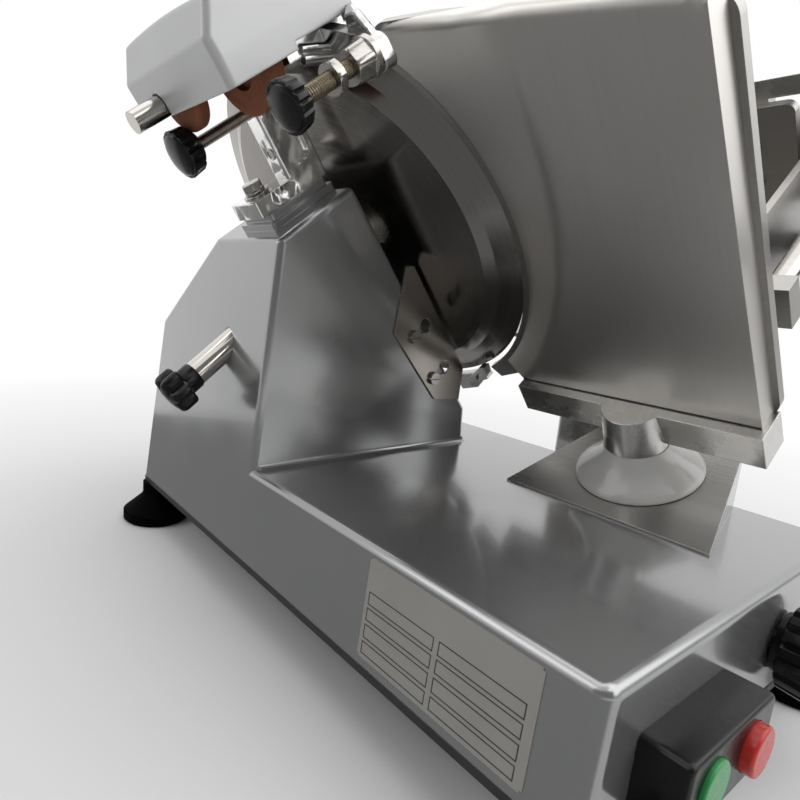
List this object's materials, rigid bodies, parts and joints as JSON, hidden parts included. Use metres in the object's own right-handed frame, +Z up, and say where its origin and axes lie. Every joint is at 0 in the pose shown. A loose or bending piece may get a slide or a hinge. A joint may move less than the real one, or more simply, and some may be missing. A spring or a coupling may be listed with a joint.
{
  "type": "gravity feed slicer",
  "caption": "Inclined blade slicer on a cast base, with a sliding food carriage and pusher, a movable gauge plate and a lift-off sharpener over the blade.",
  "frame": {"origin": "on the table, under the middle of the whole object's bounding box", "axes": "+Z up, +Y from the operator's end to the back along the carriage's travel, +X from the slice side to the carriage side"},
  "size_m": [0.432, 0.533, 0.4026],
  "materials": {
    "grey_paint": "glossy silver-grey paint on a casting",
    "hood_paint": "satin light silver paint",
    "satin_steel": "satin brushed stainless sheet",
    "polished_steel": "polished blade steel",
    "plain_steel": "plain turned steel",
    "cast_aluminium": "polished cast aluminium",
    "brassy_thread": "yellow plated thread",
    "black_plastic": "black moulded plastic",
    "black_rubber": "black rubber",
    "dark_paint": "dark paint",
    "white_plastic": "glossy white plastic",
    "brown_stone": "brown bonded abrasive",
    "green_plastic": "green push button",
    "red_plastic": "red push button"
  },
  "bodies": {
    "base": {"base_housing": "grey_paint", "base_plate": "dark_paint", "base_plate_screws": "plain_steel", "rubber_feet": "black_rubber", "cord_gland": "black_plastic", "switch_box": "black_plastic", "spindle_housing": "plain_steel", "spindle_bearings": "plain_steel", "motor": "dark_paint", "drive_belt": "black_rubber", "blade_cover": "polished_steel", "tie_rod_sleeve": "plain_steel", "blade_guard": "cast_aluminium", "deflector_screws": "plain_steel", "ramp_sheet_cover": "satin_steel", "gauge_guide_rods": "plain_steel", "carriage_rail": "plain_steel", "sharpener_bracket": "cast_aluminium", "bracket_washers": "plain_steel", "bracket_bolt": "plain_steel"},
    "blade_set": {"blade": "polished_steel", "blade_spindle": "plain_steel", "blade_screws": "plain_steel", "blade_pulley": "cast_aluminium"},
    "motor_rotor": {"motor_pulley": "plain_steel"},
    "tie_rod_set": {"tie_rod": "plain_steel", "tie_rod_knob": "black_plastic"},
    "deflector": {"slice_deflector": "satin_steel"},
    "gauge": {"gauge_plate": "satin_steel", "gauge_cover": "satin_steel", "gauge_arm": "cast_aluminium", "post_skirt": "white_plastic", "gauge_slide_block": "cast_aluminium"},
    "index": {"index_knob": "black_plastic", "index_shaft": "plain_steel"},
    "carriage": {"carriage_slider": "cast_aluminium", "slider_bushes": "brassy_thread", "carriage_arm": "cast_aluminium", "food_tray": "satin_steel", "pusher_rod": "plain_steel", "carriage_handle": "black_plastic"},
    "roller": {"guide_roller": "black_plastic"},
    "tray_lock": {"tray_lock_knob": "black_plastic"},
    "pusher": {"pusher_collar": "cast_aluminium"},
    "pusher_swing_arm": {"pusher_arm": "cast_aluminium", "pusher_plate": "satin_steel", "pusher_grip": "black_plastic"},
    "sharpener": {"sharpener_body": "cast_aluminium", "sharpener_hood": "hood_paint", "stone_nut": "plain_steel", "adjust_nuts": "plain_steel"},
    "adjuster": {"adjust_screw": "brassy_thread", "adjust_knob": "black_plastic"},
    "lock": {"lock_screw": "plain_steel", "lock_knob": "black_plastic"},
    "pin": {"push_pin": "plain_steel"},
    "fine_wheel": {"fine_stone": "brown_stone"},
    "grinding_wheel": {"grinding_stone": "brown_stone"},
    "start_button": {"on_button": "green_plastic"},
    "stop_button": {"off_button": "red_plastic"}
  },
  "joints": [
    {"name": "blade_spin", "type": "hinge", "parent": "base", "child": "blade_set", "pos_m": [-0.0232, 0.1055, 0.273], "axis": [0.766, 0, 0.6428], "continuous": true},
    {"name": "motor_spin", "type": "hinge", "parent": "base", "child": "motor_rotor", "pos_m": [0.03336, 0.1055, 0.20559], "axis": [0.766, 0, 0.6428], "continuous": true},
    {"name": "tie_rod_turn", "type": "hinge", "parent": "base", "child": "tie_rod_set", "pos_m": [-0.0232, 0.1055, 0.273], "axis": [0.766, 0, 0.6428], "range_deg": [0, 1080]},
    {"name": "deflector_slide", "type": "slide", "parent": "base", "child": "deflector", "axis": [-0.766, 0, -0.6428], "range_m": [0, 0.012]},
    {"name": "gauge_slide", "type": "slide", "parent": "base", "child": "gauge", "axis": [0.9063, 0, 0.4226], "range_m": [-0.012, 0]},
    {"name": "index_turn", "type": "hinge", "parent": "base", "child": "index", "pos_m": [0.02835, -0.1455, 0.06611], "axis": [0, 1, 0], "range_deg": [-1, 271]},
    {"name": "carriage_slide", "type": "slide", "parent": "base", "child": "carriage", "axis": [0, 1, 0], "range_m": [-0.105, 0.195]},
    {"name": "roller_spin", "type": "hinge", "parent": "carriage", "child": "roller", "pos_m": [0.0788, -0.0295, 0.0493], "axis": [1, 0, 0], "continuous": true},
    {"name": "tray_lock_turn", "type": "hinge", "parent": "carriage", "child": "tray_lock", "pos_m": [0.1618, -0.0295, 0.21197], "axis": [1, 0, 0], "range_deg": [0, 720]},
    {"name": "pusher_slide", "type": "slide", "parent": "carriage", "child": "pusher", "axis": [0.766, 0, 0.6428], "range_m": [-0.114, 0.028]},
    {"name": "pusher_swing", "type": "hinge", "parent": "pusher", "child": "pusher_swing_arm", "pos_m": [0.13922, -0.1705, 0.32835], "axis": [0.766, 0, 0.6428], "range_deg": [0, 100]},
    {"name": "sharpener_lift", "type": "slide", "parent": "base", "child": "sharpener", "axis": [-0.6018, 0, 0.7986], "range_m": [0, 0.04]},
    {"name": "adjuster_turn", "type": "hinge", "parent": "sharpener", "child": "adjuster", "pos_m": [-0.14987, -0.0252, 0.32636], "axis": [0.7986, 0, 0.6018], "range_deg": [-360, 360]},
    {"name": "lock_turn", "type": "hinge", "parent": "base", "child": "lock", "pos_m": [-0.15557, 0.0858, 0.3173], "axis": [0.7986, 0, 0.6018], "range_deg": [-720, 0]},
    {"name": "pin_push", "type": "slide", "parent": "sharpener", "child": "pin", "axis": [0.7986, 0, 0.6018], "range_m": [0, 0.006], "stiffness_N_per_m": 600},
    {"name": "fine_stone_spin", "type": "hinge", "parent": "pin", "child": "fine_wheel", "pos_m": [-0.1841, 0.0788, 0.33024], "axis": [0.7986, 0, 0.6018], "continuous": true},
    {"name": "grinding_stone_spin", "type": "hinge", "parent": "sharpener", "child": "grinding_wheel", "pos_m": [-0.16923, 0.0308, 0.34207], "axis": [0.7986, 0, 0.6018], "continuous": true},
    {"name": "start_push", "type": "slide", "parent": "base", "child": "start_button", "axis": [0, 1, 0], "range_m": [0, 0.003], "stiffness_N_per_m": 400},
    {"name": "stop_push", "type": "slide", "parent": "base", "child": "stop_button", "axis": [0, 1, 0], "range_m": [0, 0.003], "stiffness_N_per_m": 400}
  ],
  "couplings": [
    {"joint": "motor_spin", "follows": "blade_spin", "ratio": 2.5},
    {"joint": "index_turn", "follows": "gauge_slide", "rad_per_m": -392.7}
  ]
}
